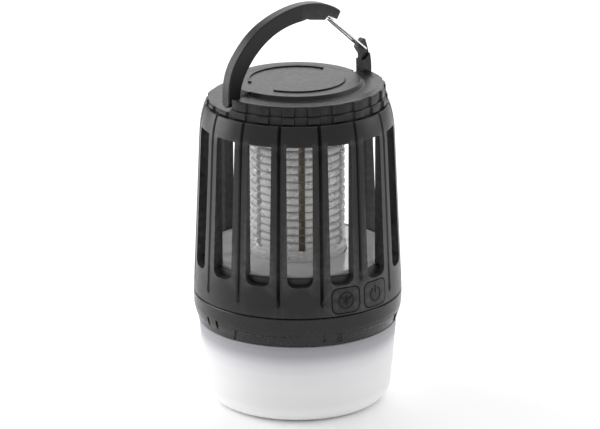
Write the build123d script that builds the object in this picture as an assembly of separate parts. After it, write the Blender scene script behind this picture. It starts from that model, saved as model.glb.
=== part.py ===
from build123d import *
import os
from math import sin, cos, tan, radians, degrees, atan2, acos, asin, hypot

os.makedirs("parts", exist_ok=True)

# ---------------------------------------------------------------------------
# Electric bug zapper, portable lantern type.  Millimetres.
# Origin: centre of the underside.  +Z up.  Front (the two buttons) faces -Y.
# The carrying bail stands in the XZ plane.
# ---------------------------------------------------------------------------

# --- driving dimensions ----------------------------------------------------
Z_DIFF_SHOULDER = 35.2      # top of the visible part of the lamp diffuser
Z_SPLIT = 48.1              # parting line between base collar and cage
GAP_SPLIT = 0.4             # running gap at the parting line
Z_SLOT_LO, Z_SLOT_HI = 61.5, 120.6   # cage slots, outside face
Z_CAGE_TOP = 128.8
Z_CAP_LOW = 129.2           # castellated ring under the cap
Z_CAP_MID = 132.4
Z_CAP_RIM = 136.5
Z_TOP = 138.4
R_CAGE_LO = 43.75           # cage outside radius at the parting line
R_CAGE_HI = 40.72           # cage outside radius where the shoulder starts
Z_SHOULDER = 115.0
R_CAGE_TOP = 38.35
N_SLOTS = 15
SLOT_W = 10.6
SLOT_FIRST = 12.0           # degrees from the front
R_CHAMBER = 38.0            # inside of the cage bars
R_BAND_IN = 40.45           # inside of the cage below the floor
N_BLOCKS = 22               # castellations on the cap
BLOCK_PHASE = -43.0         # degrees from the front to one block's middle
R_COLUMN = 19.9             # grid former
R_COLUMN_IN = 17.4
WIRE_PITCH = 3.3
WIRE_D = 0.38
BAIL_T = 4.9                # bail thickness, along Y
BAIL_X = (-36.85, -30.8)    # left foot, outside and inside
STUB_X = (37.6, 33.2)       # right foot, outside and inside
PIVOT_Z = 134.9             # hinge line of the bail
Y_FRONT = -3.2              # the cap's rim stands full height in front of this line
Z_TRACK = 131.2             # floor of the track that the bail folds back into
R_TRACK = 27.55             # wall of the disc inside that track
PIN_D = 2.0
GATE_PX, GATE_PZ = 34.9, 146.0
GATE_D = 1.1
GATE_Y0, GATE_Y1 = 2.2, 1.25    # half width of the wire gate at its hinge and at its tip
GATE_TIP = (16.5, 161.75)
BTN_W, BTN_H, BTN_Z, BTN_R = 12.5, 10.4, 54.8, 2.5
BTN_ANG = (-9.9, 10.4)      # degrees from the front
BTN_GAP = 0.42
TWIST = 20.0                # bayonet turn


# --- helpers ---------------------------------------------------------------
def seg_points(pts):
    """Edges of a closed outline given as (x, y) or (x, y, corner radius)."""
    n = len(pts)
    out = []
    ends = []
    for i in range(n):
        p0, p1, p2 = pts[i - 1], pts[i], pts[(i + 1) % n]
        r = p1[2] if len(p1) > 2 else 0
        if r <= 0:
            ends.append(((p1[0], p1[1]), None, (p1[0], p1[1])))
            continue
        d1 = (p0[0] - p1[0], p0[1] - p1[1])
        d2 = (p2[0] - p1[0], p2[1] - p1[1])
        l1, l2 = hypot(*d1), hypot(*d2)
        d1 = (d1[0] / l1, d1[1] / l1)
        d2 = (d2[0] / l2, d2[1] / l2)
        a = acos(max(-1, min(1, d1[0] * d2[0] + d1[1] * d2[1]))) / 2
        t = r / tan(a)
        b = (d1[0] + d2[0], d1[1] + d2[1])
        lb = hypot(*b)
        c = (p1[0] + b[0] / lb * r / sin(a), p1[1] + b[1] / lb * r / sin(a))
        m = (c[0] - b[0] / lb * r, c[1] - b[1] / lb * r)
        ends.append(((p1[0] + d1[0] * t, p1[1] + d1[1] * t), m,
                     (p1[0] + d2[0] * t, p1[1] + d2[1] * t)))
    for i in range(n):
        a, m, b = ends[i]
        if m is not None:
            out.append(("arc", a, m, b))
        nxt = ends[(i + 1) % n][0]
        if hypot(nxt[0] - b[0], nxt[1] - b[1]) > 1e-6:
            out.append(("line", b, nxt))
    return out


def face_of(pts, to3):
    edges = []
    for s in seg_points(pts):
        if s[0] == "line":
            edges.append(Edge.make_line(to3(s[1]), to3(s[2])))
        else:
            edges.append(Edge.make_three_point_arc(to3(s[1]), to3(s[2]), to3(s[3])))
    return Face(Wire(edges))


def rev(pts):
    """Solid of revolution about Z from an (r, z) outline."""
    return revolve(face_of(pts, lambda q: (q[0], 0, q[1])), Axis.Z, 360)


def prism_xy(pts, z0, z1):
    f = face_of(pts, lambda q: (q[0], q[1], z0))
    return extrude(f, amount=z1 - z0, dir=(0, 0, 1))


def prism_xz(pts, y0, y1):
    f = face_of(pts, lambda q: (q[0], y0, q[1]))
    return extrude(f, amount=y1 - y0, dir=(0, 1, 0))


def prism_yz(pts, x0, x1):
    f = face_of(pts, lambda q: (x0, q[0], q[1]))
    return extrude(f, amount=x1 - x0, dir=(1, 0, 0))


def box(x0, x1, y0, y1, z0, z1):
    return Pos((x0 + x1) / 2, (y0 + y1) / 2, (z0 + z1) / 2) * Box(x1 - x0, y1 - y0, z1 - z0)


def cyl(r, z0, z1, x=0, y=0):
    return Pos(x, y, (z0 + z1) / 2) * Cylinder(r, z1 - z0)


def turned(shape, ang_from_front):
    """Turn something built facing the front (-Y) to an angle, positive towards +X."""
    return Rot(0, 0, ang_from_front) * shape


def export(shapes, node):
    solids = []
    for s in (shapes if isinstance(shapes, (list, tuple)) else [shapes]):
        solids.extend(s.solids())
    obj = solids[0] if len(solids) == 1 else Compound(children=solids)
    obj.label = node
    export_step(obj, "parts/%s.step" % node)


def cage_r(z):
    """Outside radius of the cage."""
    if z <= Z_SHOULDER:
        return R_CAGE_LO + (R_CAGE_HI - R_CAGE_LO) * (z - Z_SPLIT) / (Z_SHOULDER - Z_SPLIT)
    t = (z - Z_SHOULDER) / (Z_CAGE_TOP - Z_SHOULDER)
    return R_CAGE_HI - 0.626 * t - 1.744 * t ** 2.6


CAGE_LINE = [(cage_r(z), z) for z in (117.5, 119.5, 121.2, 122.8, 124.2, 125.4, 126.5, 127.5, 128.2)]


def cage_band_solid(inset_out, r_in, z0, z1):
    """Ring that follows the outside of the cage, pulled in by inset_out."""
    zs = [z0] + [z for z in (Z_SHOULDER,) if z0 < z < z1] + [p[1] for p in CAGE_LINE if z0 < p[1] < z1] + [z1]
    outer = [(cage_r(z) - inset_out, z) for z in zs]
    return rev([(r_in, z0)] + outer + [(r_in, z1)])


# ===========================================================================
# LAMP BASE (stands on the ground, twists off the housing)
# ===========================================================================
diffuser = rev([
    (0, 0), (38.35, 0, 8.0), (40.2, 17.0), (41.5, 34.0), (41.5, Z_DIFF_SHOULDER, 0.3),
    (40.05, Z_DIFF_SHOULDER), (40.05, 40.0, 0.3), (38.2, 40.0, 0.3), (38.2, 35.4),
    (39.7, 33.4), (38.5, 17.0), (36.7, 1.9, 6.5), (0, 1.9),
])
export(diffuser, "lamp_diffuser")

seal = rev([(40.15, 40.15), (40.95, 40.15), (40.95, 40.75), (40.15, 40.75)])
export(seal, "diffuser_seal")

ZC = Z_SPLIT - GAP_SPLIT / 2
collar = rev([
    (40.2, 35.5), (41.75, 35.5, 0.25), (42.25, 37.6), (43.05, 39.9, 1.5), (43.62, 42.6, 3.0),
    (43.75, ZC - 0.3), (43.45, ZC), (41.6, ZC), (41.6, 40.95), (41.05, 40.95),
    (41.05, 40.05), (40.2, 40.05),
])
# channel for the bayonet lugs: arcs under the lip, with entry slots
channel = rev([(41.5, 40.95), (42.75, 40.95), (42.75, 44.2), (41.5, 44.2)])
lug_arcs = []
for k in range(3):
    a0 = 120 * k
    lo, hi = a0 - 6.7 - 90, a0 + TWIST + 7.0 - 90
    pts = [(0, 0)] + [(60 * cos(radians(lo + (hi - lo) * i / 4)), 60 * sin(radians(lo + (hi - lo) * i / 4))) for i in range(5)]
    lug_arcs.append(channel & prism_xy(pts, 40, 45))
    lo, hi = a0 + TWIST - 7.6 - 90, a0 + TWIST + 7.0 - 90
    pts = [(0, 0)] + [(60 * cos(radians(lo + (hi - lo) * i / 2)), 60 * sin(radians(lo + (hi - lo) * i / 2))) for i in range(3)]
    entry = rev([(41.5, 44.0), (42.75, 44.0), (42.75, 50), (41.5, 50)])
    lug_arcs.append(entry & prism_xy(pts, 43.9, 51))
for c in lug_arcs:
    collar -= c
# pairs of grip slots either side
for a in (-96.7, -88.4, 88.4, 96.7):
    collar -= turned(box(-0.75, 0.75, -46, -42.35, 37.2, 42.2), a)
# two long thumb panels sunk into the lower edge, with slanted ends
panel_ring = rev([(41.2, 34.0), (46.0, 34.0), (46.0, 43.2), (42.3, 39.5, 0.4), (41.75, 37.5), (41.3, 36.0), (41.2, 35.2)])


def slanted_panel(a_lo, a_hi, slant_lo, slant_hi):
    """Panel cutter between two angles; each end plane leans by its slant."""
    pts = [(0, 0)]
    m = max(2, int(abs(a_hi - a_lo) / 12))
    for i in range(m + 1):
        t = radians(a_lo + (a_hi - a_lo) * i / m - 90)
        pts.append((60 * cos(t), 60 * sin(t)))
    w = panel_ring & prism_xy(pts, 33, 43.2)
    for a, sl, side in ((a_lo, slant_lo, 1), (a_hi, slant_hi, -1)):
        if sl:
            # triangle in the tangential plane, removed from the cutter
            tri = [(-side * 0.05, 43.4), (side * sl, 43.4), (-side * 0.05, 34.6)]
            f = face_of(tri, lambda q: (q[0], -60, q[1]))
            w -= turned(extrude(f, amount=30, dir=(0, 1, 0)), a)
    return w


collar -= slanted_panel(-77.3, -29.6, 3.6, 8.0)
collar -= slanted_panel(-5.6, 40.0, 9.5, 3.6)
collar -= slanted_panel(102.7, 150.4, 3.6, 8.0)
collar -= slanted_panel(174.4, 220.0, 9.5, 3.6)
export(collar, "base_collar")

# ===========================================================================
# HOUSING
# ===========================================================================
# --- cage: one moulding, written as band, bars and shoulder ----------------
Z0 = Z_SPLIT + GAP_SPLIT / 2
outer_profile = [(R_BAND_IN, Z0), (43.45, Z0), (cage_r(Z0 + 0.3), Z0 + 0.3), (R_CAGE_HI, Z_SHOULDER)]
outer_profile += CAGE_LINE + [(R_CAGE_TOP + 0.05, 128.55), (R_CAGE_TOP - 0.25, Z_CAGE_TOP), (36.6, Z_CAGE_TOP),
                              (36.6, 122.6), (R_CHAMBER - 0.3, 121.4), (R_CHAMBER, 120.4), (R_CHAMBER, 65.0), (R_BAND_IN, 65.0)]
cage = rev(outer_profile)

# slots with rounded lower corners
slot_cut = prism_xz([(-SLOT_W / 2, Z_SLOT_LO, 3.2), (SLOT_W / 2, Z_SLOT_LO, 3.2),
                     (SLOT_W / 2, Z_SLOT_HI, 0.6), (-SLOT_W / 2, Z_SLOT_HI, 0.6)], -50, -30)


def v_groove(z_lo):
    """V-shaped groove down a bar's middle with a tapered foot."""
    zs = [(z_lo, 0.02, 0.15), (z_lo + 1.6, 0.85, 1.15), (z_lo + 4.5, 1.05, 0.8), (Z_SHOULDER, 1.05, 0.8),
          (121.2, 1.05, 0.8), (125.4, 1.1, 0.8), (128.0, 1.15, 0.8), (130.0, 1.2, 0.8)]
    wires = []
    for z, depth, half in zs:
        r = cage_r(min(z, Z_CAGE_TOP)) if z < 129 else R_CAGE_TOP - 0.9
        k = (depth + 1.0) / depth if depth > 0.1 else 3.0
        tip = (0, -(r - depth), z)
        if depth > 0.1:
            a, b = (-half * k, -(r + 1.0), z), (half * k, -(r + 1.0), z)
        else:
            a, b = (-0.5, -(r + 1.0), z), (0.5, -(r + 1.0), z)
        wires.append(Wire([Edge.make_line(tip, a), Edge.make_line(a, b), Edge.make_line(b, tip)]))
    return Solid.make_loft(wires, ruled=True)


groove = v_groove(52.3)
groove_short = v_groove(61.6)
for k in range(N_SLOTS):
    cage -= turned(slot_cut, SLOT_FIRST + 24 * k)
for k in range(N_SLOTS):
    cage -= turned(groove_short if k == 0 else groove, 24 * k)

# button windows
r_btn = cage_r(BTN_Z)
for a in BTN_ANG:
    hole = prism_xz([(-BTN_W / 2 - BTN_GAP, BTN_Z - BTN_H / 2 - BTN_GAP, BTN_R + BTN_GAP),
                     (BTN_W / 2 + BTN_GAP, BTN_Z - BTN_H / 2 - BTN_GAP, BTN_R + BTN_GAP),
                     (BTN_W / 2 + BTN_GAP, BTN_Z + BTN_H / 2 + BTN_GAP, BTN_R + BTN_GAP),
                     (-BTN_W / 2 - BTN_GAP, BTN_Z + BTN_H / 2 + BTN_GAP, BTN_R + BTN_GAP)], -50, -38)
    cage -= turned(hole, a)

# charging port at the back: boss inside, sunk pad outside, hole for the plug
usb_boss = box(-11, 11, 38.7, 41.0, 50.3, 60.2) & cyl(R_BAND_IN + 0.4, 49, 61)
cage += usb_boss
USB_HX, USB_HY = 7.4, 42.0     # hinge line of the rubber cover
recess = prism_xz([(-7.6, 51.0, 1.5), (8.55, 51.0, 0.4), (8.55, 59.0, 0.4), (-7.6, 59.0, 1.5)], 40.9, 50)
cage -= recess
cage -= prism_xz([(-4.9, 53.1, 1.4), (4.9, 53.1, 1.4), (4.9, 56.9, 1.4), (-4.9, 56.9, 1.4)], 38, 42)

Z_A, Z_B = 65.0, 120.4
band = cage & box(-60, 60, -60, 60, 40, Z_A)
bars = cage & box(-60, 60, -60, 60, Z_A, Z_B)
shoulder = cage & box(-60, 60, -60, 60, Z_B, 140)
export(band, "cage_lower_band")
export(bars, "cage_bars")
export(shoulder, "cage_shoulder_ring")

# --- bayonet ring under the cage -------------------------------------------
ring = rev([(38.9, 41.2), (41.3, 41.2, 0.3), (41.3, Z0), (40.3, Z0), (40.3, 50.0), (38.9, 50.0)])
ring -= box(-20, 20, -45, -30, Z0, 52)
for k in range(3):
    lug = rev([(41.0, 41.6), (42.4, 41.6, 0.2), (42.4, 43.8, 0.2), (41.0, 43.8)])
    lo, hi = 120 * k - 6 - 90, 120 * k + 6 - 90
    pts = [(0, 0), (60 * cos(radians(lo)), 60 * sin(radians(lo))), (60 * cos(radians(hi)), 60 * sin(radians(hi)))]
    ring += lug & prism_xy(pts, 41, 45)
export(ring, "bayonet_ring")

# --- chamber floor, carried on four posts ----------------------------------
POSTS = [(34 * cos(radians(a)), 34 * sin(radians(a))) for a in (60, 120, -35, -145)]
floor = rev([(0, 61.2), (40.3, 61.2), (40.3, 64.7, 0.4), (38.75, 64.7, 0.4), (38.75, 62.7), (0, 62.7)])
for x, y in POSTS:
    floor += cyl(2.6, 42.2, 61.2, x, y)
    floor -= cyl(0.8, 42.0, 52.2, x, y)
floor -= cyl(3.0, 60, 63)
export(floor, "chamber_floor")

# --- clear insect tray -----------------------------------------------------
tray = rev([(20.9, 62.9), (21.9, 62.9), (21.9, 64.0), (36.4, 64.0), (36.4, 62.9), (37.7, 62.9),
            (37.7, 65.6, 0.3), (36.7, 65.6, 0.2), (36.3, 65.2), (20.9, 65.2)])
export(tray, "insect_tray")

# --- clear winding former for the grid -------------------------------------
ZF0, ZF1 = 70.0, 119.5
teeth = [(R_COLUMN_IN, 62.8), (20.5, 62.8), (20.5, 68.2, 0.5), (19.2, 68.9)]
nt = int((ZF1 - ZF0) / WIRE_PITCH)
ridges = []
for i in range(nt):
    z = ZF0 + i * WIRE_PITCH
    ridges += [(18.75, z), (19.55, z + 0.35), (R_COLUMN, z + 1.0), (R_COLUMN, z + 1.95), (19.55, z + 2.6), (18.75, z + 2.95)]
Z_FTOP = 123.5
former = rev(teeth + ridges + [(18.75, ZF0 + nt * WIRE_PITCH), (20.2, ZF0 + nt * WIRE_PITCH + 0.6), (20.2, Z_FTOP), (R_COLUMN_IN, Z_FTOP)])
for k in range(6):
    a = -31.7 + 60 * k
    former -= turned(box(-1.4, 1.4, -25, -10, 69.2, 119.0), a)
export(former, "grid_former")

wire_a, wire_b = [], []
for i in range(1, nt):
    z = ZF0 + i * WIRE_PITCH - 0.17
    t = Pos(0, 0, z) * Torus(18.75 + WIRE_D / 2 + 0.04, WIRE_D / 2)
    (wire_a if i % 2 == 0 else wire_b).append(t)
export(wire_a, "grid_wire_live")
export(wire_b, "grid_wire_return")

# --- ultraviolet LED strip -------------------------------------------------
UV_A = -31.9
uv_board = turned(box(-3.6, 3.6, -0.7, 0.7, 70.2, 121.0), UV_A)
export(uv_board, "uv_led_board")
chips = []
for i in range(6):
    z = 75.0 + i * 8.4
    for s in (-1, 1):
        y0, y1 = (-1.65, -0.72) if s < 0 else (0.72, 1.65)
        chips.append(turned(box(-1.5, 1.5, y0, y1, z - 1.5, z + 1.5), UV_A))
export(chips, "uv_leds")
holder = turned(box(-7.5, 7.5, -5, 5, 62.8, 70.1), UV_A)
holder = holder.solids()[0].fillet(1.0, holder.edges().filter_by(Axis.Z))
export(holder, "uv_board_holder")

# --- cap base: castellated ring, ceiling and centre boss --------------------


def castellated(r_block, r_recess, z0, z1):
    pts = []
    edges = []
    step = 360.0 / N_BLOCKS
    half = step / 4
    ramp = 0.75
    prev = None
    first = None
    def P(r, a, z=z0):
        t = radians(a - 90)
        return (r * cos(t), r * sin(t), z)
    for k in range(N_BLOCKS):
        c = BLOCK_PHASE + step * k
        a0, a1 = c - half + ramp / 2, c + half - ramp / 2
        b0, b1 = c + half + ramp / 2, c + step - half - ramp / 2
        edges.append(Edge.make_three_point_arc(P(r_block, a0), P(r_block, c), P(r_block, a1)))
        edges.append(Edge.make_line(P(r_block, a1), P(r_recess, b0)))
        edges.append(Edge.make_three_point_arc(P(r_recess, b0), P(r_recess, (b0 + b1) / 2), P(r_recess, b1)))
        edges.append(Edge.make_line(P(r_recess, b1), P(r_block, c + step - half + ramp / 2)))
    return extrude(Face(Wire(edges)), amount=z1 - z0, dir=(0, 0, 1))


SCREWS = [(23.2 * cos(radians(a)), 23.2 * sin(radians(a))) for a in (50, 130, 230, 310)]
cap_base = rev([(0, Z_CAP_MID), (0, 123.5), (20.6, 123.5), (20.6, Z_CAP_LOW), (33.9, Z_CAP_LOW), (33.9, 123.6),
                (36.45, 123.6), (36.45, Z_CAP_LOW - 0.4), (37.3, Z_CAP_LOW), (37.65, Z_CAP_LOW + 0.5),
                (37.65, Z_CAP_MID - 0.55), (37.35, Z_CAP_MID - 0.2), (37.0, Z_CAP_MID)])
cap_base &= castellated(37.65, 36.75, 120, 134)
track = rev([(R_TRACK, Z_TRACK), (36.7, Z_TRACK), (37.1, Z_TRACK - 0.15), (37.7, Z_TRACK - 0.6), (45, Z_TRACK - 0.6), (45, 146), (R_TRACK, 146)])
behind = box(-60, 60, Y_FRONT, 60, 120, 150)
cap_base -= track & behind
for x, y in SCREWS:
    cap_base -= cyl(1.25, 129.0, 132.6, x, y)
export(cap_base, "cap_base")

# --- top cap ---------------------------------------------------------------
cap = rev([(25.0, Z_CAP_MID), (36.35, Z_CAP_MID), (36.85, Z_CAP_MID + 0.35), (36.85, Z_CAP_RIM - 0.35, 0.5), (36.1, Z_CAP_RIM + 0.15, 0.5),
           (32.5, Z_CAP_RIM - 0.15, 8.0), (27.9, Z_CAP_RIM + 0.15, 0.6), (26.55, Z_TOP - 0.05, 0.6), (0, Z_TOP),
           (0, 136.0), (25.0, 136.0, 0.8)])
cap &= castellated(36.85, 36.0, 130, 142)
# two arc ribs on the disc, one of them with round ends
R_ARC = 19.95
RIB_W, RIB_H = 0.7, 0.5


def arc_rib(a0, a1, knobs):
    z0, z1, w = Z_TOP - 0.6, Z_TOP + RIB_H, RIB_W / 2
    tr = rev([(R_ARC - w, z0), (R_ARC + w, z0), (R_ARC + w, z1, 0.25), (R_ARC - w, z1, 0.25)])
    pts = [(0, 0)]
    m = max(4, int(abs(a1 - a0) / 20))
    for i in range(m + 1):
        t = radians(a0 + (a1 - a0) * i / m - 90)
        pts.append((40 * cos(t), 40 * sin(t)))
    g = tr & prism_xy(pts, z0 - 1, Z_TOP + 2)
    if knobs:
        for a in (a0, a1):
            t = radians(a - 90)
            g += Pos(R_ARC * cos(t), R_ARC * sin(t), 0) * rev([(0, z0), (0.75, z0), (0.75, z1 + 0.1, 0.3), (0, z1 + 0.1)])
    return g


cap += arc_rib(-65.8, 56.7, False)
cap += arc_rib(111.2, 245.2, True)
# behind the hinge line the disc stands alone, with a wall that the bail folds round
cap += rev([(25.0, Z_CAP_MID), (R_TRACK, Z_CAP_MID), (R_TRACK, Z_TOP - 0.05, 0.3), (R_ARC + 3, Z_TOP), (R_ARC + 3, 136.0), (25.0, 136.0)]) & behind
cap -= track & behind
for s in (-1, 1):
    # lug that carries the hinge pin out to the foot
    x1 = (-BAIL_X[1] if s < 0 else STUB_X[1]) - 0.4
    lug = prism_yz([(Y_FRONT - 0.5, Z_CAP_MID - 1.6), (1.7, Z_CAP_MID - 1.6), (1.7, 136.3, 1.4), (Y_FRONT - 0.5, 136.3)], 25.4, x1)
    if s < 0:
        lug = mirror(lug, about=Plane.YZ)
    cap += lug & box(-60, 60, -60, 60, Z_CAP_MID, 150)
    cap -= Pos(s * 30, 0, PIVOT_Z) * Rot(0, 90, 0) * Cylinder(PIN_D / 2, 9.0)
for x, y in SCREWS:
    cap += cyl(2.5, Z_CAP_MID, 136.4, x, y)
for x, y in SCREWS:
    cap -= cyl(1.25, 132.0, 135.6, x, y)
export(cap, "top_cap")

pins = [Pos(s * 30.65, 0, PIVOT_Z) * Rot(0, 90, 0) * Cylinder(PIN_D / 2, 10.3) for s in (-1, 1)]
export(pins, "bail_hinge_pins")

screws = []
for x, y in SCREWS:
    s = cyl(1.25, 129.2, 135.5, x, y) + cyl(2.2, 127.6, 129.2, x, y)
    s -= box(x - 1.5, x + 1.5, y - 0.3, y + 0.3, 127.0, 128.4)
    s -= box(x - 0.3, x + 0.3, y - 1.5, y + 1.5, 127.0, 128.4)
    screws.append(s)
export(screws, "cap_screws")

# --- electronics bay -------------------------------------------------------
cover = cyl(38.0, 40.6, 42.2)
for x, y in POSTS:
    cover -= cyl(1.0, 40.0, 42.5, x, y)
cover -= cyl(2.0, 40.0, 42.5)
export(cover, "bay_cover")

bscrews = []
for x, y in POSTS:
    s = cyl(0.8, 40.6, 51.0, x, y) + cyl(1.9, 39.4, 40.6, x, y)
    s -= box(x - 1.2, x + 1.2, y - 0.25, y + 0.25, 39.0, 40.0)
    s -= box(x - 0.25, x + 0.25, y - 1.2, y + 1.2, 39.0, 40.0)
    bscrews.append(s)
export(bscrews, "bay_screws")

led_board = cyl(31.0, 39.4, 40.6)
export(led_board, "lamp_led_board")
leds = []
for i in range(12):
    a = radians(30 * i + 15)
    leds.append(Pos(23 * cos(a), 23 * sin(a), 38.95) * Rot(0, 0, 30 * i + 15) * Box(3.5, 2.8, 0.86))
for i in range(4):
    a = radians(90 * i)
    leds.append(Pos(9 * cos(a), 9 * sin(a), 38.95) * Rot(0, 0, 90 * i) * Box(3.5, 2.8, 0.86))
export(leds, "lamp_leds")

BAT_Y, BAT_Z = 8.0, 51.7
cell = Pos(0, BAT_Y, BAT_Z) * Rot(0, 90, 0) * Cylinder(9.15, 64.0)
cell += Pos(32.4, BAT_Y, BAT_Z) * Rot(0, 90, 0) * Cylinder(3.4, 0.9)
export(cell, "battery_cell")
cradles = []
for sx in (-20, 20):
    c = box(sx - 1, sx + 1, BAT_Y - 11.0, BAT_Y + 11.0, 42.25, 50.5)
    c -= Pos(sx, BAT_Y, BAT_Z) * Rot(0, 90, 0) * Cylinder(9.2, 10)
    cradles.append(c)
export(cradles, "battery_saddles")
contacts = [box(-32.5, -32.05, BAT_Y - 4, BAT_Y + 4, 46.5, 57), box(32.9, 33.35, BAT_Y - 4, BAT_Y + 4, 46.5, 57)]
export(contacts, "battery_contacts")

pcb = box(-22, 22, -30, -5.5, 45.5, 47.1)
export(pcb, "main_circuit_board")
tr_core = box(-17, -3, -23, -11, 47.15, 58.0)
tr_core = tr_core.solids()[0].fillet(1.2, tr_core.edges().filter_by(Axis.Z))
export(tr_core, "step_up_transformer")
caps = [cyl(4.0, 47.15, 59.5, 5.0, -17.0), cyl(3.2, 47.15, 57.0, 14.5, -14.0)]
export(caps, "capacitors")

sw_board = box(-12.5, 12.5, -33.1, -31.9, 49.0, 60.6)
export(sw_board, "switch_board")
switches = []
for a in BTN_ANG:
    x = 37.0 * sin(radians(a))
    switches.append(box(x - 3, x + 3, -35.6, -33.15, BTN_Z - 3, BTN_Z + 3))
export(switches, "tact_switches")
usb_board = box(-8, 8, 27.5, 38.4, 51.9, 53.0)
export(usb_board, "charge_board")
usb = box(-4.5, 4.5, 31.0, 38.5, 53.05, 56.4)
usb -= box(-3.9, 3.9, 32.0, 39.0, 53.6, 55.85)
usb += box(-2.9, 2.9, 31.5, 37.0, 54.45, 55.0)
export(usb, "charge_socket")

# ===========================================================================
# MOVING PARTS
# ===========================================================================
# --- push buttons ----------------------------------------------------------
skin = cage_band_solid(-0.02, 20, 45, 64)
btn = prism_xz([(-BTN_W / 2, BTN_Z - BTN_H / 2, BTN_R), (BTN_W / 2, BTN_Z - BTN_H / 2, BTN_R),
                (BTN_W / 2, BTN_Z + BTN_H / 2, BTN_R), (-BTN_W / 2, BTN_Z + BTN_H / 2, BTN_R)], -50, -38.3) & skin
lip = prism_xz([(-BTN_W / 2, BTN_Z - 5.9, 1.0), (BTN_W / 2, BTN_Z - 5.9, 1.0),
                (BTN_W / 2, BTN_Z + 5.9, 1.0), (-BTN_W / 2, BTN_Z + 5.9, 1.0)], -39.5, -38.3)
btn = btn + lip
btn -= prism_xz([(-4.6, BTN_Z - 3.6, 1.5), (4.6, BTN_Z - 3.6, 1.5), (4.6, BTN_Z + 3.6, 1.5), (-4.6, BTN_Z + 3.6, 1.5)], -41.6, -38.0)
btn += Pos(0, -40.2, BTN_Z) * Rot(90, 0, 0) * Cylinder(1.8, 3.6)
export(turned(btn, BTN_ANG[0]), "zapper_button")
export(turned(btn, BTN_ANG[1]), "lamp_button")

# --- bail ------------------------------------------------------------------


def line_edge(p, q, y):
    return Edge.make_line((p[0], y, p[1]), (q[0], y, q[1]))


def curve(points, y):
    return Edge.make_spline([(p[0], y, p[1]) for p in points])


def arc3(p, q, r, y):
    return Edge.make_three_point_arc((p[0], y, p[1]), (q[0], y, q[1]), (r[0], y, r[1]))


Y0 = -BAIL_T / 2
OUTER = [(-36.85, PIVOT_Z), (-36.78, 138.6), (-36.15, 143.6), (-33.95, 149.7), (-30.1, 155.2), (-24.7, 160.75),
         (-17.0, 165.6), (-8.2, 168.75), (3.0, 170.35), (13.8, 168.7), (20.6, 165.3)]
UNDER = [(20.6, 165.3), (21.15, 164.4), (19.3, 161.35), (16.5, 163.1), (14.6, 163.5), (12.85, 162.1), (5.3, 163.35), (3.5, 163.95), (0.7, 163.25)]
INNER = [(0.7, 163.25), (-4.0, 162.65), (-11.5, 160.4), (-17.35, 157.15), (-23.45, 151.75), (-27.0, 147.1), (-29.4, 142.5), (-30.6, 138.0), (-30.8, PIVOT_Z)]
edges = [curve(OUTER, Y0)]
edges += [line_edge(p, q, Y0) for p, q in zip(UNDER, UNDER[1:])]
edges += [curve(INNER, Y0), line_edge(INNER[-1], OUTER[0], Y0)]
arm = extrude(Face(Wire(edges)), amount=BAIL_T, dir=(0, 1, 0))


def soften(solid, r, edges_of):
    for k in (1.0, 0.7, 0.45):
        try:
            return solid.solids()[0].fillet(r * k, edges_of)
        except Exception:
            continue
    print("left square")
    return solid


def face_edges(solid, longer):
    return [e for e in solid.edges() if abs(abs(e.center().Y) - BAIL_T / 2) < 0.02 and e.length > longer and e.center().Z > PIVOT_Z + 0.5]


def foot(xs):
    c = Cylinder(BAIL_T / 2, abs(xs[1] - xs[0]))
    c = c.fillet(0.5, c.edges().filter_by(GeomType.CIRCLE))
    return Pos((xs[0] + xs[1]) / 2, 0, PIVOT_Z) * Rot(0, 90, 0) * c


arm = soften(arm, 0.55, face_edges(arm, 30))


stub_edges = [
    curve([(STUB_X[0], PIVOT_Z), (37.72, 138.4), (37.3, 142.4), (36.5, 146.2), (35.45, 149.3)], Y0),
    arc3((35.45, 149.3), (34.75, 150.35), (33.6, 150.1), Y0),
    line_edge((33.6, 150.1), (31.1, 147.6), Y0),
    arc3((31.1, 147.6), (30.9, 147.05), (31.15, 146.5), Y0),
    line_edge((31.15, 146.5), (33.0, 143.7), Y0),
    line_edge((33.0, 143.7), (33.2, 138.4), Y0),
    line_edge((33.2, 138.4), (STUB_X[1], PIVOT_Z), Y0),
    line_edge((STUB_X[1], PIVOT_Z), (STUB_X[0], PIVOT_Z), Y0),
]
stub = extrude(Face(Wire(stub_edges)), amount=BAIL_T, dir=(0, 1, 0))
# the stub's head is sunk on both faces, so that the wire's legs lie within its thickness
SUNK = [(28, 144.6), (33.0, 141.3), (34.2, 141.6), (36.3, 143.6), (38.5, 144.6), (40, 153), (28, 153)]
for ya, yb in ((-4, -1.2), (1.2, 4)):
    stub -= prism_xz(SUNK, ya, yb)
stub = soften(stub, 0.4, face_edges(stub, 4))
left = arm + foot(BAIL_X)
right = stub + foot(STUB_X)
bore = Rot(0, 90, 0) * Cylinder(PIN_D / 2 + 0.05, 72.4)
left -= Pos(0, 0, PIVOT_Z) * bore
right -= Pos(0, 0, PIVOT_Z) * bore
right -= Pos(GATE_PX, 0, GATE_PZ) * Rot(90, 0, 0) * Cylinder(GATE_D / 2 + 0.05, 20)
export(left, "bail_arm")
export(right, "bail_stub")

# --- wire gate: one bent wire whose ends hinge in the stub -----------------
dx, dz = GATE_TIP[0] - GATE_PX, GATE_TIP[1] - GATE_PZ
GL = hypot(dx, dz)
ux, uz = dx / GL, dz / GL


def gate3(q):
    return (GATE_PX + ux * q[0], q[1], GATE_PZ + uz * q[0])


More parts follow.
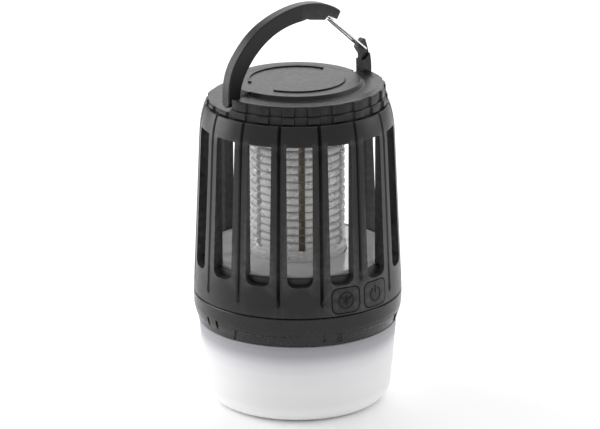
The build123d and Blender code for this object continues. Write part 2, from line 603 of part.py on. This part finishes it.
def open_path(pts):
    """Straight runs joined by arcs, from (s, y[, radius]) points."""
    es = []
    cur = pts[0][:2]
    for i in range(1, len(pts) - 1):
        p0, p1, p2 = pts[i - 1], pts[i], pts[i + 1]
        r = p1[2]
        d1 = (p0[0] - p1[0], p0[1] - p1[1])
        d2 = (p2[0] - p1[0], p2[1] - p1[1])
        l1, l2 = hypot(*d1), hypot(*d2)
        d1, d2 = (d1[0] / l1, d1[1] / l1), (d2[0] / l2, d2[1] / l2)
        a = acos(max(-1, min(1, d1[0] * d2[0] + d1[1] * d2[1]))) / 2
        t = r / tan(a)
        b = (d1[0] + d2[0], d1[1] + d2[1])
        lb = hypot(*b)
        c = (p1[0] + b[0] / lb * r / sin(a), p1[1] + b[1] / lb * r / sin(a))
        m = (c[0] - b[0] / lb * r, c[1] - b[1] / lb * r)
        s0 = (p1[0] + d1[0] * t, p1[1] + d1[1] * t)
        s1 = (p1[0] + d2[0] * t, p1[1] + d2[1] * t)
        es.append(Edge.make_line(gate3(cur), gate3(s0)))
        es.append(Edge.make_three_point_arc(gate3(s0), gate3(m), gate3(s1)))
        cur = s1
    es.append(Edge.make_line(gate3(cur), gate3(pts[-1])))
    return Wire(es)


gate_path = open_path([(0, -0.4), (0, -GATE_Y0, 0.7), (GL, -GATE_Y1, 0.85), (GL, GATE_Y1, 0.85), (0, GATE_Y0, 0.7), (0, 0.4)])
sec = Plane(origin=gate3((0, -0.4)), z_dir=(0, -1, 0)) * Circle(GATE_D / 2)
gate = sweep(sec, path=gate_path)
export(gate, "gate_wire")

# --- rubber cover over the charging port -----------------------------------
cskin = cage_band_solid(0.02, 20, 45, 64)
plate = prism_xz([(-7.2, 51.4, 1.2), (USB_HX, 51.4), (USB_HX, 58.6), (-7.2, 58.6, 1.2)], 41.5, 50) & cskin
barrel = cyl(0.65, 51.4, 58.6, USB_HX, USB_HY)
trim = box(USB_HX - 0.9, USB_HX + 3, USB_HY + 0.55, 50, 50, 60)
plate -= trim
cover_rubber = plate + barrel
# lip that plugs the hole
cover_rubber += prism_xz([(-3.6, 54.0, 0.9), (3.6, 54.0, 0.9), (3.6, 56.0, 0.9), (-3.6, 56.0, 0.9)], 40.6, 41.6)
export(cover_rubber, "charge_port_cover")
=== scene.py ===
import bpy, bmesh, math
from mathutils import Vector, Matrix, Quaternion


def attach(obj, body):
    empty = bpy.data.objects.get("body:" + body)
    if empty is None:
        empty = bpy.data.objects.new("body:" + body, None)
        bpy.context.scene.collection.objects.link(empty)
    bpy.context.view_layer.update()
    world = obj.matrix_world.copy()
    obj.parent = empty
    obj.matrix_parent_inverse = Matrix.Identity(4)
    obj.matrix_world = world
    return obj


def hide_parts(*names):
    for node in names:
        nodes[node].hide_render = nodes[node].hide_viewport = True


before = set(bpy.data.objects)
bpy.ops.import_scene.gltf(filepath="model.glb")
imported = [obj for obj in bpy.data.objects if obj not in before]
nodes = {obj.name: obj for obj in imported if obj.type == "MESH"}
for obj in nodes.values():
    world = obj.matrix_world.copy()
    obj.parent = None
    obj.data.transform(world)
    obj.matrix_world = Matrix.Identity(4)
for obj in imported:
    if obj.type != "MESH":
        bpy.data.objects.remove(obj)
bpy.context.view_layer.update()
MM = 0.001
sc = bpy.context.scene
sc.view_settings.view_transform = "Standard"
sc.view_settings.look = "None"
sc.view_settings.exposure = 0.0
sc.view_settings.gamma = 1.0

# ---------------------------------------------------------------- camera
AZ, EL, DIST = math.radians(-37.4), math.radians(17.62), 1.6
right = Vector((math.cos(AZ), math.sin(AZ), 0))
back = Vector((math.sin(AZ) * math.cos(EL), -math.cos(AZ) * math.cos(EL), math.sin(EL)))
look = right * 0.00109 + Vector((0, 0, 0.0796))
cam_data = bpy.data.cameras.new("camera")
cam_data.lens = 229.32
cam_data.sensor_width = 36.0
cam_data.sensor_fit = "HORIZONTAL"
cam_data.clip_start, cam_data.clip_end = 0.05, 30.0
cam = bpy.data.objects.new("camera", cam_data)
sc.collection.objects.link(cam)
cam.location = look + back * DIST
cam.rotation_mode = "QUATERNION"
cam.rotation_quaternion = (-back).to_track_quat("-Z", "Y") @ Quaternion((0, 0, 1), -0.004)
sc.camera = cam


# ---------------------------------------------------------------- node helpers
def new_mat(name):
    m = bpy.data.materials.new(name)
    m.use_nodes = True
    nt = m.node_tree
    for n in list(nt.nodes):
        nt.nodes.remove(n)
    out = nt.nodes.new("ShaderNodeOutputMaterial")
    bs = nt.nodes.new("ShaderNodeBsdfPrincipled")
    nt.links.new(bs.outputs[0], out.inputs[0])
    return m, nt, bs


def N(nt, kind, **kw):
    n = nt.nodes.new(kind)
    for k, v in kw.items():
        if k.startswith("i_"):
            n.inputs[int(k[2:])].default_value = v
        else:
            setattr(n, k, v)
    return n


def noise(nt, coord, scale, detail=3.0, rough=0.55):
    n = nt.nodes.new("ShaderNodeTexNoise")
    n.inputs["Scale"].default_value = scale
    n.inputs["Detail"].default_value = detail
    n.inputs["Roughness"].default_value = rough
    nt.links.new(coord, n.inputs["Vector"])
    return n.outputs["Fac"]


def ramp(nt, fac, stops):
    n = nt.nodes.new("ShaderNodeValToRGB")
    e = n.color_ramp.elements
    while len(e) > 1:
        e.remove(e[-1])
    e[0].position = stops[0][0]
    e[0].color = stops[0][1]
    for p, c in stops[1:]:
        x = e.new(p)
        x.color = c
    nt.links.new(fac, n.inputs[0])
    return n.outputs[0]


def maprange(nt, v, a, b, c, d):
    n = nt.nodes.new("ShaderNodeMapRange")
    nt.links.new(v, n.inputs[0])
    for i, x in zip((1, 2, 3, 4), (a, b, c, d)):
        n.inputs[i].default_value = x
    return n.outputs[0]


def math_node(nt, op, a, b=None, clamp=False):
    n = nt.nodes.new("ShaderNodeMath")
    n.operation = op
    n.use_clamp = clamp
    for i, x in enumerate((a, b)):
        if x is None:
            continue
        if isinstance(x, (int, float)):
            n.inputs[i].default_value = x
        else:
            nt.links.new(x, n.inputs[i])
    return n.outputs[0]


def bump(nt, height, strength, dist, bs, prev=None):
    n = nt.nodes.new("ShaderNodeBump")
    n.inputs["Strength"].default_value = strength
    n.inputs["Distance"].default_value = dist
    nt.links.new(height, n.inputs["Height"])
    if prev is not None:
        nt.links.new(prev, n.inputs["Normal"])
    return n.outputs[0]


def g(v, a=1.0):
    return (v[0], v[1], v[2], a)


def mixc(nt, fac, a, b):
    n = nt.nodes.new("ShaderNodeMix")
    n.data_type = "RGBA"
    nt.links.new(fac, n.inputs[0])
    for i, x in ((6, a), (7, b)):
        if isinstance(x, tuple):
            n.inputs[i].default_value = x
        else:
            nt.links.new(x, n.inputs[i])
    return n.outputs[2]


def plastic(name, dark, light, rough=(0.36, 0.5), grain=3200, grain_d=0.00002, spec=0.5, edge_highlight=0.0):
    """Moulded plastic: spark-eroded grain, soft mottling, handling marks, and convex edges painted paler as a painted
    highlight.
    """
    m, nt, bs = new_mat(name)
    tc = N(nt, "ShaderNodeTexCoord").outputs["Object"]
    big = noise(nt, tc, 55, 4, 0.6)
    fine = noise(nt, tc, grain, 2, 0.5)
    mid = noise(nt, tc, 420, 4, 0.65)
    col = ramp(nt, big, [(0.3, g(dark)), (0.72, g(light))])
    # Painted highlight: convex edges (high pointiness) are mixed towards pale grey (0.16), broken up by noise.
    if edge_highlight:
        geo = N(nt, "ShaderNodeNewGeometry")
        w = maprange(nt, geo.outputs["Pointiness"], 0.53, 0.62, 0.0, edge_highlight)
        w = math_node(nt, "MULTIPLY", w, maprange(nt, mid, 0.35, 0.65, 0.35, 1.0), True)
        col = mixc(nt, w, col, (0.16, 0.155, 0.15, 1))
    nt.links.new(col, bs.inputs["Base Color"])
    r = maprange(nt, mid, 0.25, 0.75, rough[0], rough[1])
    nt.links.new(r, bs.inputs["Roughness"])
    bs.inputs["Specular IOR Level"].default_value = spec
    bs.inputs["IOR"].default_value = 1.5
    h = math_node(nt, "ADD", fine, math_node(nt, "MULTIPLY", mid, 0.6))
    nt.links.new(bump(nt, h, 0.55, grain_d, bs), bs.inputs["Normal"])
    return m


def metal(name, col, rough=(0.18, 0.32), along=None):
    m, nt, bs = new_mat(name)
    tc = N(nt, "ShaderNodeTexCoord").outputs["Object"]
    fine = noise(nt, tc, 2600, 3, 0.6)
    big = noise(nt, tc, 160, 4, 0.6)
    c2 = tuple(x * 0.78 for x in col)
    nt.links.new(ramp(nt, big, [(0.3, g(c2)), (0.7, g(col))]), bs.inputs["Base Color"])
    bs.inputs["Metallic"].default_value = 1.0
    nt.links.new(maprange(nt, fine, 0.3, 0.7, rough[0], rough[1]), bs.inputs["Roughness"])
    nt.links.new(bump(nt, fine, 0.3, 0.00001, bs), bs.inputs["Normal"])
    return m


M_BODY = plastic("black_plastic", (0.0070, 0.0060, 0.0062), (0.0118, 0.0102, 0.0106), rough=(0.28, 0.4), spec=0.34, edge_highlight=0.3)
M_COLLAR = plastic("collar_plastic", (0.0070, 0.0060, 0.0062), (0.0118, 0.0102, 0.0106), rough=(0.22, 0.32), spec=0.38)
M_CAP = plastic("cap_plastic", (0.0045, 0.0043, 0.0044), (0.0080, 0.0076, 0.0078), rough=(0.32, 0.42), grain=3600, spec=0.27, edge_highlight=0.2)
M_BAIL = plastic("bail_plastic", (0.0060, 0.0056, 0.0057), (0.0100, 0.0093, 0.0095), rough=(0.32, 0.42), spec=0.36, edge_highlight=0.3)
M_BTN = plastic("button_plastic", (0.0080, 0.0070, 0.0068), (0.0130, 0.0115, 0.0110), rough=(0.32, 0.44), spec=0.36, edge_highlight=0.3)
# Painted shade: the raised marks get a plastic about three times darker than the buttons, standing in for the shadows
# around the embossed strokes.
M_MARK_SHADED = plastic("mark_relief_shaded", (0.0028, 0.0026, 0.0026), (0.0045, 0.0042, 0.0042), rough=(0.4, 0.5), grain=5000, spec=0.2)
M_INNER = plastic("inner_plastic", (0.006, 0.0055, 0.0055), (0.010, 0.009, 0.009), rough=(0.45, 0.6), spec=0.35)
M_RUBBER = plastic("rubber", (0.02, 0.02, 0.02), (0.028, 0.028, 0.028), rough=(0.6, 0.75), grain=2500)
M_STEEL = metal("spring_steel", (0.78, 0.78, 0.80), (0.12, 0.24))
M_SCREW = metal("screw_steel", (0.6, 0.6, 0.62), (0.25, 0.4))
M_WIRE = metal("grid_wire", (0.42, 0.42, 0.43), (0.28, 0.42))
M_GREEN = plastic("board_green", (0.02, 0.12, 0.05), (0.03, 0.16, 0.07), rough=(0.25, 0.35), grain=1500)
M_BOARD = plastic("board_dark", (0.26, 0.21, 0.165), (0.36, 0.29, 0.23), rough=(0.3, 0.4), grain=1500)
M_WHITEB = plastic("board_white", (0.75, 0.75, 0.74), (0.85, 0.85, 0.84), rough=(0.3, 0.4), grain=1500)
M_LED = plastic("led_phosphor", (0.46, 0.42, 0.22), (0.58, 0.54, 0.31), rough=(0.2, 0.3), grain=1500)
M_CELL = plastic("cell_wrap", (0.03, 0.09, 0.22), (0.05, 0.13, 0.3), rough=(0.18, 0.28), grain=900)
M_FERR = plastic("ferrite", (0.05, 0.04, 0.035), (0.09, 0.075, 0.06), rough=(0.5, 0.7), grain=1200)
M_SWITCH = plastic("switch_grey", (0.12, 0.12, 0.12), (0.18, 0.18, 0.18))


def clear_mat(name, tint, rough, trans, wavy):
    m, nt, bs = new_mat(name)
    tc = N(nt, "ShaderNodeTexCoord").outputs["Object"]
    big = noise(nt, tc, 140, 2.5, 0.55)
    fine = noise(nt, tc, 1500, 2, 0.5)
    nt.links.new(ramp(nt, big, [(0.3, g(tuple(x * 0.95 for x in tint))), (0.7, g(tint))]), bs.inputs["Base Color"])
    nt.links.new(maprange(nt, big, 0.3, 0.7, rough[0], rough[1]), bs.inputs["Roughness"])
    bs.inputs["Transmission Weight"].default_value = trans
    bs.inputs["IOR"].default_value = 1.46
    h = math_node(nt, "ADD", big, math_node(nt, "MULTIPLY", fine, 0.06))
    nt.links.new(bump(nt, h, 0.4, wavy, bs), bs.inputs["Normal"])
    return m


M_FORMER = clear_mat("clear_former", (0.985, 0.98, 0.975), (0.2, 0.36), 0.46, 0.00006)
M_TRAY = clear_mat("clear_tray", (0.93, 0.925, 0.925), (0.1, 0.28), 0.5, 0.00025)


def diffuser_mat():
    """Frosted white plastic. The upper band, backed by the collar's sleeve, is painted darker towards the collar:
    painted shade under the collar's overhang. The bottom edge is painted lighter: painted light on the underside.
    """
    m, nt, bs = new_mat("diffuser_white")
    tcn = N(nt, "ShaderNodeTexCoord")
    tc = tcn.outputs["Object"]
    sep = N(nt, "ShaderNodeSeparateXYZ")
    nt.links.new(tc, sep.inputs[0])
    z = sep.outputs[2]
    wob = noise(nt, tc, 30, 2, 0.5)
    zz = math_node(nt, "ADD", z, maprange(nt, wob, 0, 1, -0.0006, 0.0006))
    # Painted shade: the base colour darkens from z 15 mm up to the collar, standing in for the shade under the
    # collar's overhang.
    f = maprange(nt, zz, 0.015, 0.035, 0.0, 1.0)
    col = ramp(nt, f, [(0.0, (0.80, 0.80, 0.805, 1)), (0.35, (0.76, 0.76, 0.77, 1)), (0.56, (0.65, 0.65, 0.67, 1)),
                       (0.8, (0.36, 0.36, 0.385, 1)), (1.0, (0.29, 0.29, 0.315, 1))])
    # Painted light: the base colour is lifted to near white over the bottom 8 mm, standing in for light on the
    # shadowed underside.
    painted_bottom_light = maprange(nt, z, 0.0, 0.008, 1.0, 0.0)
    col = mixc(nt, painted_bottom_light, col, (0.97, 0.97, 0.97, 1))
    nt.links.new(col, bs.inputs["Base Color"])
    fine = noise(nt, tc, 3000, 2, 0.5)
    mid = noise(nt, tc, 300, 4, 0.6)
    nt.links.new(maprange(nt, mid, 0.3, 0.7, 0.42, 0.55), bs.inputs["Roughness"])
    bs.inputs["Subsurface Weight"].default_value = 0.35
    bs.inputs["Subsurface Radius"].default_value = (1.0, 1.0, 1.0)
    bs.inputs["Subsurface Scale"].default_value = 0.003
    bs.inputs["Specular IOR Level"].default_value = 0.4
    nt.links.new(bump(nt, fine, 0.4, 0.000012, bs), bs.inputs["Normal"])
    return m


M_DIFF = diffuser_mat()

MATS = {
    "lamp_diffuser": M_DIFF, "base_collar": M_COLLAR, "diffuser_seal": M_RUBBER,
    "cage_lower_band": M_BODY, "cage_bars": M_BODY, "cage_shoulder_ring": M_BODY, "bayonet_ring": M_INNER,
    "chamber_floor": M_BODY, "insect_tray": M_TRAY, "grid_former": M_FORMER, "grid_wire_live": M_WIRE,
    "grid_wire_return": M_WIRE, "uv_led_board": M_BOARD, "uv_leds": M_LED, "uv_board_holder": M_BOARD,
    "cap_base": M_CAP, "top_cap": M_CAP, "bail_hinge_pins": M_SCREW, "cap_screws": M_SCREW, "bay_cover": M_INNER,
    "bay_screws": M_SCREW, "lamp_led_board": M_WHITEB, "lamp_leds": M_LED, "battery_cell": M_CELL,
    "battery_saddles": M_INNER, "battery_contacts": M_SCREW, "main_circuit_board": M_GREEN,
    "step_up_transformer": M_FERR, "capacitors": M_CELL, "switch_board": M_GREEN, "tact_switches": M_SWITCH,
    "charge_board": M_GREEN, "charge_socket": M_SCREW, "zapper_button": M_BTN, "lamp_button": M_BTN,
    "bail_arm": M_BAIL, "bail_stub": M_BAIL, "gate_wire": M_STEEL, "charge_port_cover": M_RUBBER,
}
for name, ob in nodes.items():
    ob.data.materials.clear()
    ob.data.materials.append(MATS[name])


def make(name, verts, faces, body, mat, replace=(), smooth=True):
    me = bpy.data.meshes.new(name)
    me.from_pydata([tuple(v) for v in verts], [], faces)
    me.validate()
    me.update()
    ob = bpy.data.objects.new(name, me)
    sc.collection.objects.link(ob)
    me.materials.append(mat)
    if smooth:
        me.polygons.foreach_set("use_smooth", [True] * len(me.polygons))
    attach(ob, body)
    if replace:
        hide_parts(*replace)
    return ob


# ---------------------------------------------------------------- small raised marks
def cage_r(z):
    if z <= 115.0:
        return 43.75 + (40.72 - 43.75) * (z - 48.1) / (115.0 - 48.1)
    t = (z - 115.0) / (128.8 - 115.0)
    return 40.72 - 0.626 * t - 1.744 * t ** 2.6


def collar_r(z):
    pts = [(35.5, 41.75), (37.6, 42.25), (39.9, 43.05), (42.6, 43.62), (48.0, 43.75)]
    for (z0, r0), (z1, r1) in zip(pts, pts[1:]):
        if z <= z1:
            return r0 + (r1 - r0) * (z - z0) / (z1 - z0)
    return pts[-1][1]


def on_wall(rf, a0, u, z, dr):
    """Point u mm round from angle a0 (degrees from the front) at height z, dr mm off the wall."""
    r = rf(z)
    a = math.radians(a0) + u / r
    return Vector(((r + dr) * math.sin(a), -(r + dr) * math.cos(a), z)) * MM


def tube(name, pts, radius, body, mat, cyclic=False, slot=None, sides=10):
    """Round wire through points, in metres, as a mesh."""
    n = len(pts)
    verts, faces = [], []
    tang = []
    for i in range(n):
        a = pts[(i - 1) % n] if (cyclic or i > 0) else pts[i]
        b = pts[(i + 1) % n] if (cyclic or i < n - 1) else pts[i]
        tang.append((b - a).normalized())
    ref = Vector((0, 0, 1)) if abs(tang[0].z) < 0.9 else Vector((1, 0, 0))
    nrm = tang[0].cross(ref).normalized()
    for i in range(n):
        nrm = (nrm - tang[i] * nrm.dot(tang[i])).normalized()
        bi = tang[i].cross(nrm)
        for k in range(sides):
            t = 2 * math.pi * k / sides
            verts.append(pts[i] + (nrm * math.cos(t) + bi * math.sin(t)) * radius)
    rings = n if cyclic else n - 1
    for i in range(rings):
        j = (i + 1) % n
        for k in range(sides):
            k2 = (k + 1) % sides
            faces.append((i * sides + k, i * sides + k2, j * sides + k2, j * sides + k))
    if not cyclic:
        faces.append(tuple(reversed(range(sides))))
        faces.append(tuple((n - 1) * sides + k for k in range(sides)))
    return make(name, verts, faces, body, mat)


def mark(name, rf, a0, z0, pts, body, width=0.55, high=0.16, cyclic=False, mat=None, sides=12):
    """Raised stroke that follows the wall: half-round section, flattened, with rounded ends. Sizes in mm."""
    dense = []
    m = len(pts)
    segs = m if cyclic else m - 1
    for i in range(segs):
        p, q = pts[i], pts[(i + 1) % m]
        k = max(1, int(math.hypot(q[0] - p[0], q[1] - p[1]) / 0.2))
        for j in range(k):
            dense.append((p[0] + (q[0] - p[0]) * j / k, p[1] + (q[1] - p[1]) * j / k))
    if not cyclic:
        dense.append(pts[-1])
    n = len(dense)
    rings = []
    for i, (u, v) in enumerate(dense):
        pa = dense[(i - 1) % n] if (cyclic or i > 0) else dense[i]
        pb = dense[(i + 1) % n] if (cyclic or i < n - 1) else dense[i]
        tu, tv = pb[0] - pa[0], pb[1] - pa[1]
        ln = math.hypot(tu, tv)
        rings.append((u, v, -tv / ln, tu / ln, 1.0))
    if not cyclic:
        ends = []
        for (u, v, su, sv, _), sign in ((rings[0], -1), (rings[-1], 1)):
            tu, tv = sv * sign, -su * sign
            ends.append([(u + tu * width / 2 * math.sin(t), v + tv * width / 2 * math.sin(t), su, sv, math.cos(t))
                         for t in (0.5, 0.95, 1.3, 1.5)])
        rings = list(reversed(ends[0])) + rings + ends[1]
    verts, faces = [], []
    for u, v, su, sv, f in rings:
        for k in range(sides):
            t = 2 * math.pi * k / sides
            w = math.cos(t) * width / 2 * f
            verts.append(on_wall(rf, a0, u + su * w, z0 + v + sv * w, math.sin(t) * high * max(f, 0.15) + 0.0))
    r = len(rings)
    for i in range(r if cyclic else r - 1):
        j = (i + 1) % r
        for k in range(sides):
            k2 = (k + 1) % sides
            faces.append((i * sides + k, j * sides + k, j * sides + k2, i * sides + k2))
    if not cyclic:
        faces.append(tuple(range(sides)))
        faces.append(tuple(reversed([(r - 1) * sides + k for k in range(sides)])))
    ob = make(name, verts, faces, body, mat or M_MARK_SHADED)
    bm = bmesh.new()
    bm.from_mesh(ob.data)
    bmesh.ops.recalc_face_normals(bm, faces=bm.faces)
    bm.to_mesh(ob.data)
    bm.free()
    return ob


def circle(r, a0=0, a1=360, n=48, cx=0, cy=0):
    full = abs(a1 - a0) >= 359.9
    return [(cx + r * math.cos(math.radians(a0 + (a1 - a0) * i / n)), cy + r * math.sin(math.radians(a0 + (a1 - a0) * i / n)))
            for i in range(n if full else n + 1)]


BTN_Z, BTN_A = 54.8, (-9.9, 10.4)
# power sign on one button
mark("power_ring", cage_r, BTN_A[1], BTN_Z, circle(2.9, 122, 418, cy=-0.3), "lamp_button", 0.8, 0.2)
mark("power_bar", cage_r, BTN_A[1], BTN_Z, [(0, 0.5), (0, 3.3)], "lamp_button", 0.8, 0.2)
# plain insect-in-a-ring sign on the other
mark("insect_ring", cage_r, BTN_A[0], BTN_Z, circle(3.35), "zapper_button", 0.6, 0.18, True)
mark("insect_body", cage_r, BTN_A[0], BTN_Z, [(0, -1.9), (0, 0.9)], "zapper_button", 0.8, 0.26)
mark("insect_head", cage_r, BTN_A[0], BTN_Z, circle(0.28, n=12, cy=1.55), "zapper_button", 0.5, 0.22, True)
for side in (-1, 1):
    wing = [(side * (0.55 + 0.95 * (1 - math.cos(math.radians(t)))) , 0.3 + 0.55 * (1 - math.cos(math.radians(t))) + 0.42 * math.sin(math.radians(t)))
            for t in range(0, 360, 30)]
    mark("insect_wing_%d" % (side + 1), cage_r, BTN_A[0], BTN_Z, wing, "zapper_button", 0.36, 0.16, True)
    mark("insect_leg_%d" % (side + 1), cage_r, BTN_A[0], BTN_Z, [(side * 0.5, -0.5), (side * 1.5, -1.3)], "zapper_button", 0.36, 0.16)

# lock signs on the collar, between the two thumb panels
L1, L2, LZ = -22.5, -13.4, 38.6
mark("twist_arrow", collar_r, L1, LZ, [(0, 2.0), (0, -1.4)], "lamp_base", 0.4, 0.12)
mark("twist_arrow_head", collar_r, L1, LZ, [(-0.95, -0.5), (0, -1.6), (0.95, -0.5)], "lamp_base", 0.4, 0.12)
mark("padlock_body", collar_r, L2, LZ, [(-1.0, 0.0), (1.0, 0.0), (1.0, -1.6), (-1.0, -1.6)], "lamp_base", 0.4, 0.12, True)
mark("padlock_bow", collar_r, L2, LZ, [(-0.7, 0.2)] + list(reversed(circle(0.7, 0, 180, 12, cy=1.1))) + [(0.7, 0.2)], "lamp_base", 0.36, 0.12)

# ---------------------------------------------------------------- stage
def plane(name, size, z, mat):
    me = bpy.data.meshes.new(name)
    s = size / 2
    me.from_pydata([(-s, -s, z), (s, -s, z), (s, s, z), (-s, s, z)], [], [(0, 1, 2, 3)])
    ob = bpy.data.objects.new(name, me)
    sc.collection.objects.link(ob)
    me.materials.append(mat)
    return ob


mf, nt, bs = new_mat("floor_pale")
tc = N(nt, "ShaderNodeTexCoord").outputs["Object"]
nt.links.new(ramp(nt, noise(nt, tc, 3, 3), [(0.3, (0.965, 0.965, 0.965, 1)), (0.7, (0.985, 0.985, 0.985, 1))]), bs.inputs["Base Color"])
bs.inputs["Roughness"].default_value = 0.6
bs.inputs["Specular IOR Level"].default_value = 0.15
plane("floor", 12.0, -0.00005, mf)

world = bpy.data.worlds.new("studio")
sc.world = world
world.use_nodes = True
wt = world.node_tree
for n in list(wt.nodes):
    wt.nodes.remove(n)
wo = wt.nodes.new("ShaderNodeOutputWorld")
mixs = wt.nodes.new("ShaderNodeMixShader")
lit = wt.nodes.new("ShaderNodeBackground")
seen = wt.nodes.new("ShaderNodeBackground")
lp = wt.nodes.new("ShaderNodeLightPath")
seen.inputs[0].default_value = (1, 1, 1, 1)
seen.inputs[1].default_value = 1.0
tcw = wt.nodes.new("ShaderNodeTexCoord")
sepw = wt.nodes.new("ShaderNodeSeparateXYZ")
wt.links.new(tcw.outputs["Generated"], sepw.inputs[0])
rw = wt.nodes.new("ShaderNodeValToRGB")
wt.links.new(maprange(wt, sepw.outputs[2], -0.1, 1.0, 0.0, 1.0), rw.inputs[0])
e = rw.color_ramp.elements
e[0].position, e[0].color = 0.0, (0.74, 0.74, 0.75, 1)
e[1].position, e[1].color = 1.0, (0.66, 0.66, 0.66, 1)
wt.links.new(rw.outputs[0], lit.inputs[0])
lit.inputs[1].default_value = 1.0
mx = wt.nodes.new("ShaderNodeMath")
mx.operation = "MAXIMUM"
wt.links.new(lp.outputs["Is Camera Ray"], mx.inputs[0])
wt.links.new(lp.outputs["Is Transmission Ray"], mx.inputs[1])
wt.links.new(mx.outputs[0], mixs.inputs[0])
wt.links.new(lit.outputs[0], mixs.inputs[1])
wt.links.new(seen.outputs[0], mixs.inputs[2])
wt.links.new(mixs.outputs[0], wo.inputs[0])


def area(name, az, el, dist, size, power, size_y=None, target=(0, 0, 0.08), col=(1, 1, 1), diffuse=1.0, specular=1.0):
    """Soft box; az is measured from the camera's direction, positive to the right."""
    d = bpy.data.lights.new(name, "AREA")
    d.shape = "RECTANGLE"
    d.size, d.size_y = size, size_y or size
    d.energy = power
    d.color = col
    d.diffuse_factor, d.specular_factor = diffuse, specular
    ob = bpy.data.objects.new(name, d)
    sc.collection.objects.link(ob)
    a, el = AZ + math.radians(az), math.radians(el)
    v = Vector((math.sin(a) * math.cos(el), -math.cos(a) * math.cos(el), math.sin(el)))
    ob.location = Vector(target) + v * dist
    ob.rotation_mode = "QUATERNION"
    ob.rotation_quaternion = (-v).to_track_quat("-Z", "Y")
    return ob


area("back_box", 172, 34, 1.4, 1.3, 6.8, diffuse=0.62)
area("left_box", -106, 20, 1.1, 0.7, 8, 1.0, diffuse=0.1)
area("right_box", 100, 22, 1.3, 0.5, 3, 1.0, diffuse=0.5)
area("top_soft", 180, 76, 1.6, 1.9, 5.2, specular=0.0)
